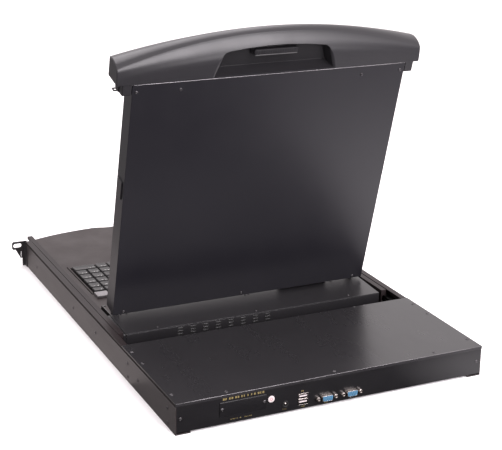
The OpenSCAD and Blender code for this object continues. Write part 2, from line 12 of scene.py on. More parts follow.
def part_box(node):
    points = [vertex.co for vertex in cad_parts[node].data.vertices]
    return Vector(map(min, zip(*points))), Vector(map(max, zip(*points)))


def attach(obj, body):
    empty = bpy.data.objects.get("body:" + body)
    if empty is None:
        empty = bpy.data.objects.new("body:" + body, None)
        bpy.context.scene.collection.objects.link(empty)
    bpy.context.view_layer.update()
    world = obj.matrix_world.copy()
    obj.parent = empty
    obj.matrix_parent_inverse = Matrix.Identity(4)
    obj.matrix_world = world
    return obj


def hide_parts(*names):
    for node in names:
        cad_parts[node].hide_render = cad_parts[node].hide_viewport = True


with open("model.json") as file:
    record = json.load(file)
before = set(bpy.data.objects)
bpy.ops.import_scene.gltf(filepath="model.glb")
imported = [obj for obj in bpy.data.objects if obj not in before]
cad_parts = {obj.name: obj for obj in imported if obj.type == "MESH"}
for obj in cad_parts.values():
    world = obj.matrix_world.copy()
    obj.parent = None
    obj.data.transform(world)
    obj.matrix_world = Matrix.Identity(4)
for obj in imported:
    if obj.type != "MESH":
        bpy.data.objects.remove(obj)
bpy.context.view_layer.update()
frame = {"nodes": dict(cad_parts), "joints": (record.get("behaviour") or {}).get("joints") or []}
random.seed(7)

# ---------- places, in millimetres ----------

REAR_Y = 650.0          # outer face of the rear panel, behind the rack plane
COVER_Z = 42.4          # top of the rear box's cover, and of the chassis
LID_Y, LID_Z = 303, 42  # lower edge and rear face of the screen when it is closed
MID = REAR_Y - 1000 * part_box("rear_panel")[1].y
HALF_W = 1000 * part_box("side_panel_right")[1].x
HINGE = next(j for j in frame["joints"] if j["name"] == "display_hinge")
PIN = 1000 * Vector(HINGE["pos_m"])
OPEN = math.radians(-HINGE["range_deg"][0])

# millimetres from the rack plane to the row frame
HERE = Matrix.Scale(0.001, 4) @ Matrix.Translation((0, -MID, 0))
# millimetres in the closed screen's own frame, as (x, -s, off), to the row frame
LID = (Matrix.Scale(0.001, 4) @ Matrix.Translation(PIN) @ Matrix.Rotation(-OPEN, 4, "X")
       @ Matrix.Translation((0, LID_Y - (PIN.y + MID), LID_Z - PIN.z)))


def cells(node, matrix):
    """Boxes of a CAD node's separate solids, in the millimetres of matrix, sorted by place."""
    me, inv = frame["nodes"][node].data, matrix.inverted()
    bm = bmesh.new()
    bm.from_mesh(me)
    bmesh.ops.remove_doubles(bm, verts=bm.verts, dist=1e-6)
    left, found = set(bm.verts), []
    while left:
        stack, group = [left.pop()], []
        while stack:
            v = stack.pop()
            group.append(inv @ v.co)
            for e in v.link_edges:
                w = e.other_vert(v)
                if w in left:
                    left.remove(w)
                    stack.append(w)
        found.append((Vector([min(p[i] for p in group) for i in range(3)]),
                      Vector([max(p[i] for p in group) for i in range(3)])))
    bm.free()
    return sorted(found, key=lambda b: (round(b[0].y), round(b[0].x)))


# ---------- materials ----------

class Nodes:
    """A material being built: sockets are set by name, and nodes are linked as they are made."""

    def __init__(self, name):
        self.mat = bpy.data.materials.new(name)
        self.mat.use_nodes = True
        self.tree = self.mat.node_tree
        self.bsdf = self.tree.nodes["Principled BSDF"]
        self.coord = self.tree.nodes.new("ShaderNodeTexCoord").outputs["Object"]

    def put(self, value, socket):
        """Links a socket to another, or sets it to a value."""
        if isinstance(value, bpy.types.NodeSocket):
            self.tree.links.new(value, socket)
        else:
            socket.default_value = value

    def node(self, kind, inputs=(), **attrs):
        n = self.tree.nodes.new("ShaderNode" + kind)
        for k, v in attrs.items():
            setattr(n, k, v)
        for k, v in dict(inputs).items():
            self.put(v, n.inputs[k])
        return n

    def noise(self, scale, detail=3.0, rough=0.5, stretch=None):
        """Cloudy noise with scale features to a metre, stretched along the axes if asked."""
        at = self.coord
        if stretch:
            at = self.node("Mapping", {"Vector": self.coord, "Scale": stretch}).outputs[0]
        inputs = {"Vector": at, "Scale": scale, "Detail": detail, "Roughness": rough}
        return self.node("TexNoise", inputs).outputs["Fac"]

    def ramp(self, fac, low, high, a, b):
        """Runs from a to b as fac runs from low to high."""
        inputs = {"Value": fac, "From Min": low, "From Max": high, "To Min": a, "To Max": b}
        return self.node("MapRange", inputs).outputs[0]

    def blend(self, fac, a, b):
        """A colour between a and b, each a colour or a colour socket."""
        n = self.node("Mix", {"Factor": fac}, data_type="RGBA")
        color_a, color_b, result = n.inputs[6], n.inputs[7], n.outputs[2]
        for v, socket in ((a, color_a), (b, color_b)):
            self.put(v if isinstance(v, bpy.types.NodeSocket) else (*v, 1), socket)
        return result

    def times(self, a, b):
        return self.node("Math", {0: a, 1: b}, operation="MULTIPLY").outputs[0]

    def feed(self, **to):
        for k, v in to.items():
            self.put(v, self.bsdf.inputs[k.replace("_", " ")])

    def surface(self, edge, *layers):
        """Rounded edges, then bumps: each layer is (height socket, strength, distance)."""
        normal = self.node("Bevel", {"Radius": edge}, samples=6).outputs[0] if edge else None
        for height, strength, distance in layers:
            inputs = {"Height": height, "Strength": strength, "Distance": distance}
            if normal:
                inputs["Normal"] = normal
            normal = self.node("Bump", inputs).outputs[0]
        self.feed(Normal=normal)


def coat(name, color, tint, rough=0.34, spec=0.5, edge=0.0005, peel=0.25, dust=0.16):
    """Powder coat on sheet steel: orange peel, fine speckle, faint handling smudges and dust."""
    m = Nodes(name)
    cloud = m.noise(scale=9, detail=4, rough=0.6)
    smear = m.noise(scale=34, detail=3, rough=0.55, stretch=(1, 0.3, 1))
    speck = m.noise(scale=2600, detail=2, rough=0.6)
    dusty = tuple(min(1, 2.0 * c + 0.008) for c in tint)
    base = m.blend(m.ramp(cloud, 0.35, 0.7, 0, 1), color, tint)
    base = m.blend(m.ramp(speck, 0.60, 0.85, 0, dust), base, dusty)
    m.feed(Base_Color=base, Specular_IOR_Level=spec, IOR=1.5,
           Roughness=m.ramp(smear, 0.3, 0.72, rough - 0.02, rough + 0.03))
    m.surface(edge, (m.noise(scale=620, detail=2), peel, 0.0001), (speck, 0.7 * dust, 0.00004))
    return m.mat


def plastic(name, color, tint, rough=0.42, spec=0.45, edge=0.0006, grain=1500, depth=0.3):
    """Moulded plastic with a spark-eroded texture, slightly polished in patches by handling."""
    m = Nodes(name)
    patch = m.noise(scale=16, detail=4, rough=0.6)
    cell = m.node("TexVoronoi", {"Vector": m.coord, "Scale": grain}, feature="SMOOTH_F1")
    cell = cell.outputs["Distance"]
    pale = tuple(1.5 * c + 0.004 for c in tint)
    base = m.blend(m.ramp(patch, 0.35, 0.7, 0, 1), color, tint)
    base = m.blend(m.ramp(cell, 0.2, 0.9, 0.0, 0.3), base, pale)
    m.feed(Base_Color=base, Specular_IOR_Level=spec, IOR=1.48,
           Roughness=m.ramp(patch, 0.3, 0.72, rough + 0.05, rough - 0.05))
    m.surface(edge, (cell, depth, 0.00005), (m.noise(scale=300, detail=2), 0.1, 0.0001))
    return m.mat


def metal(name, color, tint, rough=0.3, edge=0.0003, stretch=(1, 1, 1), grain=700, depth=0.12):
    """Plated or brushed metal: fine lines or crystals along one direction, and a mottled tint."""
    m = Nodes(name)
    line = m.noise(scale=grain, detail=4, rough=0.6, stretch=stretch)
    cloud = m.noise(scale=60, detail=3, rough=0.6)
    base = m.blend(m.ramp(cloud, 0.35, 0.68, 0, 1), color, tint)
    m.feed(Base_Color=base, Metallic=1.0, Roughness=m.ramp(line, 0.3, 0.7, rough - 0.07, rough + 0.1))
    m.surface(edge, (line, depth, 0.00005))
    return m.mat


def board(name, dark=(0.01, 0.11, 0.045), light=(0.012, 0.15, 0.06), gap=(0.006, 0.06, 0.03)):
    """Solder mask over copper: tracks show through as lighter lines, with bare pads between."""
    m = Nodes(name)
    pad = (0.6, 0.58, 0.5)
    brick = m.node("TexBrick", {"Vector": m.coord, "Scale": 160.0, "Mortar Size": 0.03,
                                "Color1": (*dark, 1), "Color2": (*light, 1), "Mortar": (*gap, 1)})
    dots = m.node("TexVoronoi", {"Vector": m.coord, "Scale": 260.0}).outputs["Distance"]
    m.feed(Base_Color=m.blend(m.ramp(dots, 0.16, 0.12, 0, 1), brick.outputs["Color"], pad), Roughness=0.35)
    m.surface(0.0002, (brick.outputs["Fac"], 0.2, 0.00005))
    return m.mat


def glossy_panel(name):
    """Anti-glare screen film over a dark panel, with the pixel pitch just showing."""
    m = Nodes(name)
    grid = m.node("TexChecker", {"Vector": m.coord, "Scale": 3400.0}).outputs["Fac"]
    haze = m.noise(scale=7)
    base = m.blend(m.ramp(haze, 0.3, 0.7, 0, 1), (0.006, 0.0065, 0.009), (0.009, 0.010, 0.013))
    m.feed(Base_Color=base, Specular_IOR_Level=0.5, Roughness=m.ramp(haze, 0.3, 0.7, 0.2, 0.26))
    m.surface(0.0003, (grid, 0.05, 0.00002), (m.noise(scale=2400, detail=2), 0.1, 0.00003))
    return m.mat


# each material has two near colours that it is mottled with
M = {
    "coat": coat("powder_coat", (0.0115, 0.0109, 0.0122), (0.0142, 0.0135, 0.0150)),
    # the rear panel's coat is a darker copy of the chassis coat: painted shade
    "rear": coat("powder_coat_rear_painted_shade", (0.0045, 0.0042, 0.0050), (0.0060, 0.0056, 0.0065),
                 rough=0.30, peel=0.15),
    "side": coat("powder_coat_sides", (0.0185, 0.0142, 0.0145), (0.0240, 0.0190, 0.0192),
                 rough=0.4, spec=0.45, peel=0.3),
    "rail": coat("powder_coat_rails", (0.0165, 0.0125, 0.0130), (0.0205, 0.0162, 0.0168),
                 rough=0.36, spec=0.10, peel=0.12),
    "lid": coat("powder_coat_screen", (0.0074, 0.0070, 0.0094), (0.0086, 0.0081, 0.0106),
                rough=0.32, spec=0.42, peel=0.04, dust=0.05),
    "top": coat("powder_coat_cover", (0.0122, 0.0115, 0.0128), (0.0142, 0.0134, 0.0148),
                rough=0.28, spec=0.45, peel=0.03, dust=0.03),
    "body": plastic("black_moulding", (0.0105, 0.0100, 0.0118), (0.0145, 0.0138, 0.0158),
                    rough=0.33, grain=1900, depth=0.15),
    # the recess's moulding is duller, and its darker colour is painted shade
    "recess": plastic("moulding_recess_painted_shade", (0.0070, 0.0066, 0.0078), (0.0095, 0.0090, 0.0102),
                      rough=0.46, spec=0.20, grain=1900, depth=0.15),
    "deck": plastic("deck_plastic", (0.0220, 0.0160, 0.0158), (0.0285, 0.0220, 0.0216),
                    rough=0.44, spec=0.21),
    "key": plastic("key_plastic", (0.014, 0.0136, 0.014), (0.021, 0.0204, 0.021),
                   rough=0.38, spec=0.36, grain=2600, depth=0.15),
    "soft": plastic("button_plastic", (0.03, 0.029, 0.03), (0.04, 0.039, 0.04), rough=0.5),
    "grey": plastic("grey_plastic", (0.135, 0.128, 0.130), (0.19, 0.18, 0.185), rough=0.4),
    "pale": plastic("pale_film", (0.24, 0.23, 0.235), (0.30, 0.29, 0.295), rough=0.4),
    "white": plastic("white_film", (0.34, 0.30, 0.30), (0.40, 0.36, 0.36), rough=0.5, depth=0.08),
    "ring": plastic("disc_print", (0.30, 0.13, 0.14), (0.36, 0.17, 0.18), rough=0.5, depth=0.05),
    "blue": plastic("connector_blue", (0.030, 0.093, 0.160), (0.042, 0.12, 0.20), rough=0.38),
    # black plastic for the power jack, also used as painted shade in holes, slots and socket linings
    "dark": plastic("black_plastic_and_painted_shade", (0.006, 0.006, 0.006), (0.010, 0.010, 0.010), rough=0.5),
    "print": plastic("gold_print", (0.105, 0.080, 0.026), (0.145, 0.110, 0.035), rough=0.5, depth=0.1),
    "legend": plastic("key_legends", (0.55, 0.55, 0.54), (0.66, 0.66, 0.65), rough=0.5, depth=0.1),
    "shell": metal("nickel_shell", (0.42, 0.38, 0.36), (0.54, 0.50, 0.47), rough=0.24, grain=500),
    "gold": metal("gold_contacts", (0.75, 0.55, 0.22), (0.82, 0.62, 0.3), rough=0.25),
    "zinc": metal("zinc_plate", (0.30, 0.30, 0.31), (0.40, 0.39, 0.37), rough=0.34, stretch=(1, 0.15, 1)),
    "slide": metal("black_slide", (0.060, 0.058, 0.060), (0.085, 0.082, 0.082),
                   rough=0.38, stretch=(1, 0.1, 1)),
    "screw": metal("black_zinc_screw", (0.075, 0.072, 0.075), (0.12, 0.115, 0.12), rough=0.34, grain=1400),
    # bright metals for thin beads along sheet edges: painted highlights
    "edge": metal("edge_painted_highlight", (0.20, 0.193, 0.20), (0.27, 0.26, 0.265), rough=0.3, grain=900),
    "fold": metal("fold_painted_highlight", (0.13, 0.125, 0.13), (0.18, 0.173, 0.18), rough=0.34, grain=900),
    "brown": plastic("bumper_rubber", (0.045, 0.032, 0.016), (0.065, 0.047, 0.025), rough=0.55),
    "pcb": board("circuit_board"),
    "mask": board("black_board", (0.012, 0.013, 0.013), (0.018, 0.019, 0.019), (0.006, 0.006, 0.006)),
    "lcd": glossy_panel("screen_film"),
}

# the material of each CAD node
PAINT = {
    "coat": ["base_pan", "bulkhead", "rack_ear_left", "rack_ear_right", "drawer_floor", "drawer_rear_wall",
             "hinge_cover", "side_fittings"],
    "rear": ["rear_panel", "option_cover"],
    "side": ["side_panel_left", "side_panel_right"],
    "rail": ["top_rail_left", "top_rail_right", "drawer_side_left", "drawer_side_right"],
    "top": ["top_cover"],
    "lid": ["display_rear_cover"],
    "slide": ["slide_outer_left", "slide_outer_right", "slide_mid_left", "slide_mid_right",
              "slide_inner_left", "slide_inner_right", "hinge_brackets"],
    "zinc": ["slide_balls", "hinge_pins", "hinge_arms"],
    "screw": ["case_screws", "display_screws"],
    "pcb": ["switch_board", "display_board"],
    "mask": ["control_board"],
    "shell": ["vga_port_1", "vga_port_2", "usb_ports"],
    "body": ["lower_handle", "display_bezel", "upper_handle", "cable_shroud", "handle_latch", "dc_jack"],
    "deck": ["keyboard_deck", "keyboard_base"],
    "key": ["function_keys", "number_keys", "upper_keys", "home_keys", "lower_keys", "bottom_keys",
            "space_bar", "keypad_keys"],
    "soft": ["touchpad", "touchpad_button_left", "touchpad_button_right", "osd_buttons", "power_button"],
    "grey": ["indicator_panel"],
    "white": ["seal_disc"],
    "lcd": ["lcd_panel"],
}
for key, names in PAINT.items():
    for n in names:
        frame["nodes"][n].data.materials.clear()
        frame["nodes"][n].data.materials.append(M[key])


# ---------- mesh helpers ----------

def arc(cx, cy, r, a, b, n):
    """n + 1 points on a circle about (cx, cy), from a to b degrees."""
    angles = [math.radians(a + (b - a) * i / n) for i in range(n + 1)]
    return [(cx + r * math.cos(t), cy + r * math.sin(t)) for t in angles]


def rect(x0, y0, x1, y1):
    return [(x0, y0), (x1, y0), (x1, y1), (x0, y1)]


def fillet(points, radii, n=5):
    """A closed 2D outline with each corner rounded to its own radius."""
    out = []
    for i, p in enumerate(points):
        p, a, b = Vector(p), Vector(points[i - 1]), Vector(points[(i + 1) % len(points)])
        r = radii[i] if isinstance(radii, (list, tuple)) else radii
        u, v = (a - p).normalized(), (b - p).normalized()
        half = math.acos(max(-1, min(1, u.dot(v)))) / 2
        straight = half > 1.56
        if r <= 0 or straight:
            out.append(tuple(p))
            continue
        d = min(r / math.tan(half), 0.49 * min((a - p).length, (b - p).length))
        r = d * math.tan(half)
        c = p + (u + v).normalized() * (r / math.sin(half))
        s, e = p + u * d - c, p + v * d - c
        turn = math.atan2(s.x * e.y - s.y * e.x, s.dot(e))
        for k in range(n + 1):
            cos, sin = math.cos(turn * k / n), math.sin(turn * k / n)
            out.append((c.x + s.x * cos - s.y * sin, c.y + s.x * sin + s.y * cos))
    return out


def upright(u, v, h):
    """The carrier that leaves a point where it is, with h as its height."""
    return (u, v, h)


def onto(x, y, z, axis):
    """A carrier of (u, v, h) to a point, with h along axis: 'x', 'y', 'z', or '-x' and so on."""
    sign = -1 if axis[0] == "-" else 1
    carriers = {
        "x": lambda u, v, h: (x + sign * h, y + u * sign, z + v),
        "y": lambda u, v, h: (x - u * sign, y + sign * h, z + v),
        "z": lambda u, v, h: (x + u, y + v * sign, z + sign * h),
    }
    return carriers[axis[-1]]


class Shape:
    """A mesh being built in millimetres."""

    def __init__(self):
        self.bm = bmesh.new()

    def loft(self, loops, cap=True, close=False):
        """Faces between loops in turn, capped at both ends or closed into a ring."""
        rings = [[self.bm.verts.new(p) for p in loop] for loop in loops]
        following = rings[1:] + rings[:1] if close else rings[1:]
        for a, b in zip(rings, following):
            for i in range(len(a)):
                j = (i + 1) % len(a)
                self.bm.faces.new((a[i], a[j], b[j], b[i]))
        if cap and not close:
            self.bm.faces.new(rings[0][::-1])
            self.bm.faces.new(rings[-1])
        return self

    def box(self, lo, hi, bevel=0.3, seg=2):
        """A block with rounded edges."""
        made = bmesh.ops.create_cube(self.bm, size=1)["verts"]
        size, mid = Vector(hi) - Vector(lo), (Vector(hi) + Vector(lo)) / 2
        for v in made:
            v.co = Vector((v.co.x * size.x, v.co.y * size.y, v.co.z * size.z)) + mid
        if bevel:
            edges = list({e for v in made for e in v.link_edges})
            most = min(size) * 0.45
            bmesh.ops.bevel(self.bm, geom=edges, offset=min(bevel, most), segments=seg, affect="EDGES")
        return self

    def prism(self, outline, low, high, to, chamfer=0.0):
        """An outline carried between two heights by to(u, v, h), with an optional rounded top."""
        loops = [[to(u, v, low) for u, v in outline]]
        if chamfer:
            cu = sum(u for u, _ in outline) / len(outline)
            cv = sum(v for _, v in outline) / len(outline)
            span = max(abs(u - cu) for u, _ in outline), max(abs(v - cv) for _, v in outline)
            loops.append([to(u, v, high - chamfer) for u, v in outline])
            for k in (0.3, 1.0):
                a, b = 1 - k * chamfer / span[0], 1 - k * chamfer / span[1]
                h = high - chamfer * (1 - k) * 0.35
                loops.append([to(cu + (u - cu) * a, cv + (v - cv) * b, h) for u, v in outline])
        else:
            loops.append([to(u, v, high) for u, v in outline])
        return self.loft(loops)

    def lathe(self, profile, to, seg=24):
        """A profile of (radius, height) turned about the axis of to(u, v, h)."""
        turns = [2 * math.pi * i / seg for i in range(seg)]
        return self.loft([[to(r * math.cos(t), r * math.sin(t), h) for t in turns] for r, h in profile])

    def pan_screw(self, to, r=2.7, h=1.1):
        """A domed head with a cross recess."""
        dome = ((1, 0), (1, 0.25), (0.93, 0.6), (0.78, 0.88))
        turns = [math.radians(15 * i) for i in range(24)]

        def cross(t, k):
            """How far the recess reaches in the direction t, at the share k of its full size."""
            t = t % (math.pi / 2)
            t = min(t, math.pi / 2 - t)
            arm, wide = 0.56 * r * k, 0.16 * r * k
            return arm / math.cos(t) if math.tan(t) * arm <= wide else wide / math.sin(t)

        def ring(reach, z):
            return [to(reach(t) * math.cos(t), reach(t) * math.sin(t), z) for t in turns]

        loops = [ring(lambda t, q=q: r * q, h * z) for q, z in dome]
        loops += [ring(lambda t: cross(t, 1), h), ring(lambda t: cross(t, 0.75), h * 0.35)]
        return self.loft(loops)

    def done(self, name, mat, body, matrix=HERE, stands_for=None, slot=None, smooth=40):
        """Makes the object, lets it ride on a body, and hides the CAD node that it stands for."""
        bm = self.bm
        bmesh.ops.recalc_face_normals(bm, faces=bm.faces)
        me = bpy.data.meshes.new(name)
        bm.to_mesh(me)
        bm.free()
        me.transform(matrix)
        if matrix.determinant() < 0:
            me.flip_normals()
        me.materials.append(M[mat])
        ob = bpy.data.objects.new(name, me)
        bpy.context.scene.collection.objects.link(ob)
        shade(ob, smooth)
        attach(ob, body)
        if stands_for:
            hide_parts(stands_for)
        return ob


def shade(ob, smooth):
    """Smooth shading, with edges sharper than smooth degrees kept sharp."""
    for p in ob.data.polygons:
        p.use_smooth = True
    ob.data.set_sharp_from_angle(angle=math.radians(smooth))


def cut(ob, tool):
    """Takes tool's shape out of ob, and removes tool."""
    m = ob.modifiers.new("cut", "BOOLEAN")
    m.operation, m.object, m.solver = "DIFFERENCE", tool, "EXACT"
    bpy.context.view_layer.update()
    made = bpy.data.meshes.new_from_object(ob.evaluated_get(bpy.context.evaluated_depsgraph_get()))
    ob.modifiers.clear()
    ob.data = made
    bpy.data.objects.remove(tool)


# ---------- camera, floor and light ----------

def look(azimuth, elevation, roll, at, lens):
    """A camera at a point, given by the direction that it looks from."""
    a, e, r = (math.radians(v) for v in (azimuth, elevation, roll))
    back = Vector((math.sin(a) * math.cos(e), -math.cos(a) * math.cos(e), math.sin(e)))
    right = (-back).cross(Vector((0, 0, 1))).normalized()
    up = right.cross(-back)
    x, y = math.cos(r) * right + math.sin(r) * up, -math.sin(r) * right + math.cos(r) * up
    cam = bpy.data.objects.new("camera", bpy.data.cameras.new("camera"))
    bpy.context.scene.collection.objects.link(cam)
    cam.matrix_world = Matrix(((x.x, y.x, back.x, at[0]), (x.y, y.y, back.y, at[1]),
                               (x.z, y.z, back.z, at[2]), (0, 0, 0, 1)))
    cam.data.lens, cam.data.sensor_width = lens, 36
    cam.data.clip_start, cam.data.clip_end = 0.05, 60
    bpy.context.scene.camera = cam


CAMERA_Y = 1992.73      # behind the rack plane
look(azimuth=154.76, elevation=18.41, roll=0.76, at=(0.75563, (CAMERA_Y - MID) / 1000, 0.75055), lens=95.18)

scene = bpy.context.scene
scene.view_settings.view_transform = "Standard"
scene.view_settings.look = "None"

world = bpy.data.worlds.new("studio")
scene.world = world
world.use_nodes = True
wt = world.node_tree
gaze = wt.nodes.new("ShaderNodeSeparateXYZ")
wt.links.new(wt.nodes.new("ShaderNodeTexCoord").outputs["Generated"], gaze.inputs[0])


def sky(axis, low, high, a, b):
    """A brightness that runs from a to b as the view direction's part along axis runs from low to high."""
    n = wt.nodes.new("ShaderNodeMapRange")
    n.interpolation_type = "SMOOTHSTEP"
    wt.links.new(gaze.outputs[axis], n.inputs["Value"])
    for k, v in (("From Min", low), ("From Max", high), ("To Min", a), ("To Max", b)):
        if isinstance(v, bpy.types.NodeSocket):
            wt.links.new(v, n.inputs[k])
        else:
            n.inputs[k].default_value = v
    return n.outputs[0]


# a bright room above a dark one, a little lighter towards the front
below = sky("Y", -0.5, 0.3, 0.30, 0.04)
background = wt.nodes["Background"]
wt.links.new(sky("Z", -0.10, 0.20, below, 1.42), background.inputs["Strength"])
background.inputs["Color"].default_value = (1.0, 0.94, 0.955, 1)


def plane(name, lo, hi, z, mat):
    me = bpy.data.meshes.new(name)
    me.from_pydata([(x, y, z) for x, y in rect(*lo, *hi)], [], [(0, 1, 2, 3)])
    me.materials.append(mat)
    ob = bpy.data.objects.new(name, me)
    scene.collection.objects.link(ob)
    return ob


paper = Nodes("paper_floor")
paper.feed(Base_Color=paper.blend(paper.noise(scale=1.3), (0.93, 0.93, 0.93), (0.95, 0.95, 0.95)),
           Roughness=0.9, Specular_IOR_Level=0.1)
paper.surface(0, (paper.noise(scale=400, detail=2), 0.05, 0.0005))
floor = plane("floor", (-14, -14), (14, 14), -0.0002, paper.mat)
floor.visible_glossy = False


def area(name, at, to, size, power, color):
    """A rectangular soft light at a point, turned to another."""
    light = bpy.data.lights.new(name, "AREA")
    light.shape, light.size, light.size_y = "RECTANGLE", size[0], size[1]
    light.energy, light.color = power, color
    ob = bpy.data.objects.new(name, light)
    scene.collection.objects.link(ob)
    ob.location = at
    ob.rotation_mode = "QUATERNION"
    ob.rotation_quaternion = (Vector(to) - Vector(at)).to_track_quat("-Z", "Y")


LAMP = (1.0, 0.95, 0.99)    # a slightly pink white
area("softbox_rear", (-0.50, 1.95, 1.12), to=(0, 0.2, 0.4), size=(1.1, 2.0), power=74, color=LAMP)
area("softbox_top", (-0.22, -0.6, 2.1), to=(0, 0.2, 0.4), size=(1.4, 1.5), power=31, color=LAMP)


def card(name, lo, hi, ends, color, fade=(0, 1, 1), height=0.0002):
    """A pale card on the table, seen only as a soft glow in the satin paint.

    ends are its dark and its bright x, and fade is where along y it starts and stops weakening, and to
    what share of its brightness."""
    m = Nodes(name + "_glow")
    start, stop, share = fade
    place = m.node("SeparateXYZ", {0: m.coord})
    level = m.times(m.ramp(place.outputs[0], *ends, 0, 1), m.ramp(place.outputs[1], start, stop, 1, share))
    glow = m.node("Emission", {"Color": m.blend(level, (0.0, 0.0, 0.0), color)})
    m.tree.links.new(glow.outputs[0], m.tree.nodes["Material Output"].inputs["Surface"])
    ob = plane(name, lo, hi, height, m.mat)
    for k in ("camera", "diffuse", "transmission", "volume_scatter", "shadow"):
        setattr(ob, "visible_" + k, False)


card("card_right", (-1.3, -0.2), (-0.2235, 1.35), ends=(-0.215, -0.31), color=(2.3, 2.16, 2.26),
     fade=(0.32, 0.54, 0.30))
card("card_near", (-0.36, 0.3795), (-0.11, 0.452), ends=(-0.11, -0.2234), color=(1.8, 1.7, 1.77),
     height=0.0005)
card("card_left", (0.2205, -0.7), (0.46, 0.22), ends=(0.46, 0.30), color=(0.80, 0.72, 0.72))

# ---------- screen handle, in the closed screen's frame ----------

HS = 359.0              # its lower edge, from the bottom of the screen
HW = 219.5              # half its width
FRONT = -32.0           # its front face, off the screen's rear face
CREASE = (-13.0, 413.1, -3.6, 380.3)

# its outline as (off, s) at the middle and (off, s) at the ends, where s is the distance from the bottom of
# the screen and off the distance from its rear face: up to the crease, and over the crown to the front
RISE = [(1.0, 359, 0.3, 359), (1.0, 383, -0.4, 367), (-1.5, 394, -1.2, 373), (-5.0, 403.3, -1.8, 376.5),
        (-9.3, 409.4, -2.6, 379.0), CREASE]
CROWN = [CREASE, (-18.0, 415.6, -9.0, 384.0), (-23.0, 416.5, -16.4, 386.2), (-28.0, 414.7, -24.0, 386.8),
         (FRONT, 411.8, FRONT, 385.2)]

# the recess in its rear face: half widths at the sill and at the top, and the height between them; its top
# edge is at TOP_S - x * x / ARCH, and its floor is at DEEP
SILL_X, TOP_X, RECESS_H = 86.5, 75, 38
TOP_S, ARCH = 399, 980
DEEP = -16


def bow(mid, end, x):
    """Height of a shallow arc at x, from its heights at the middle and at the ends."""
    sag = mid - end
    if sag < 0.1:
        return mid
    r = (HW * HW + sag * sag) / (2 * sag)
    return mid - r + math.sqrt(r * r - x * x)


def spline(points, n):
    """A smooth curve through points, n steps between each two."""
    out = []
    for k in range(len(points) - 1):
        a, b, c, d = (Vector(points[min(max(k + i, 0), len(points) - 1)]) for i in (-1, 0, 1, 2))
        for i in range(n):
            t = i / n
            bend = (2 * a - 5 * b + 4 * c - d) * t ** 2 + (3 * b - a - 3 * c + d) * t ** 3
            out.append(0.5 * (2 * b + (c - a) * t + bend))
    return out + [Vector(points[-1])]


def handle_section(x, inset):
    """The handle's outline at x, drawn in by inset."""
    def at(rows):
        return [(m + (e - m) * (x / HW) ** 2, bow(sm, se, x)) for m, sm, e, se in rows]

    path = spline(at(RISE), 6) + spline(at(CROWN), 6)[1:]
    mid = Vector((-15.5, (path[0].y + path[-1].y) / 2))
    path += [Vector((FRONT, HS + 0.9)), Vector((FRONT + 0.9, HS))]
    out = []
    for p in path:
        away = p - mid
        pull = Vector((max(-1, min(1, away.x / 8)), max(-1, min(1, away.y / 12))))
        q = p - inset * pull
        out.append((x, -q.y, q.x))
    return out


def recess_loop(grow, off, sill):
    """The recess's outline at a depth, widened by grow, with its sill let down by sill."""
    side = SILL_X - (SILL_X - TOP_X) * sill / RECESS_H + grow
    corner = TOP_X + grow
    rim = [(x, -TOP_S - grow + x * x / ARCH) for x in (corner, 45, 15, -15, -45, -corner)]
    outline = [(side, -HS - sill)] + rim + [(-side, -HS - sill)]
    radii = [0.5, 9 + grow, 0, 0, 0, 0, 9 + grow, 0.5]
    return [(x, y, off) for x, y in fillet(outline, radii, 6)]


def build_handle():
    """The handle's shell with its recess and the slot for the hook, and the arms that hold it."""
    # (x, inset) of the sections: the rounded ends, and even steps between the two shoulders
    shoulder, steps = HW - 1.1, 44
    ends = [(HW, 1.3), (HW - 0.15, 0.8), (HW - 0.5, 0.3), (shoulder, 0.0)]
    stations = [(-x, i) for x, i in ends]
    stations += [(k * shoulder / steps, 0.0) for k in range(1 - steps, steps)]
    stations += [(x, i) for x, i in reversed(ends)]
    shell = Shape().loft([handle_section(x, i) for x, i in stations])
    ob = shell.done("handle_shell", "body", "display", LID, "upper_handle", "black_plastic", 8)

    # the recess's floor, its sloping wall and its rounded rim, as (grow, off, sill)
    levels = [(-4.5, DEEP, 8.0), (-3.9, DEEP + 0.4, 7.7), (0.0, -1.6, 1.1),
              (0.9, -0.2, 0.6), (2.2, 0.6, 0.4), (3.4, 1.05, 0.3), (3.6, 3, 0.3)]
    tool = Shape().loft([recess_loop(*level) for level in levels])
    cut(ob, tool.done("handle_tool", "body", "display", LID))
    slot_x, slot_low, slot_high = 12, 378, 396.5
    slot = Shape().box((-slot_x, -slot_high, FRONT - 2), (slot_x, -slot_low, DEEP + 4), 1.2)
    cut(ob, slot.done("slot_tool", "body", "display", LID))
    shade(ob, 8)

    # the deeper faces of the recess are duller, and darker as painted shade
    ob.data.materials.append(M["recess"])
    back = LID.inverted()
    for p in ob.data.polygons:
        at = back @ p.center
        if abs(at.x) < SILL_X and HS + 0.2 < -at.y < TOP_S + 0.5 and DEEP - 0.2 < at.z < -4.6:
            p.material_index = 1

    arm_in, arm_out, arm_low, arm_thick = 198.2, 211.4, 344, 26.4
    arms = Shape()
    for s in (-1, 1):
        x0, x1 = sorted((s * arm_in, s * arm_out))
        arms.box((x0, -HS - 1.0, -arm_thick), (x1, -arm_low, -0.1), 1.0, 3)
    arms.done("handle_arms", "body", "display", LID, slot="black_plastic")


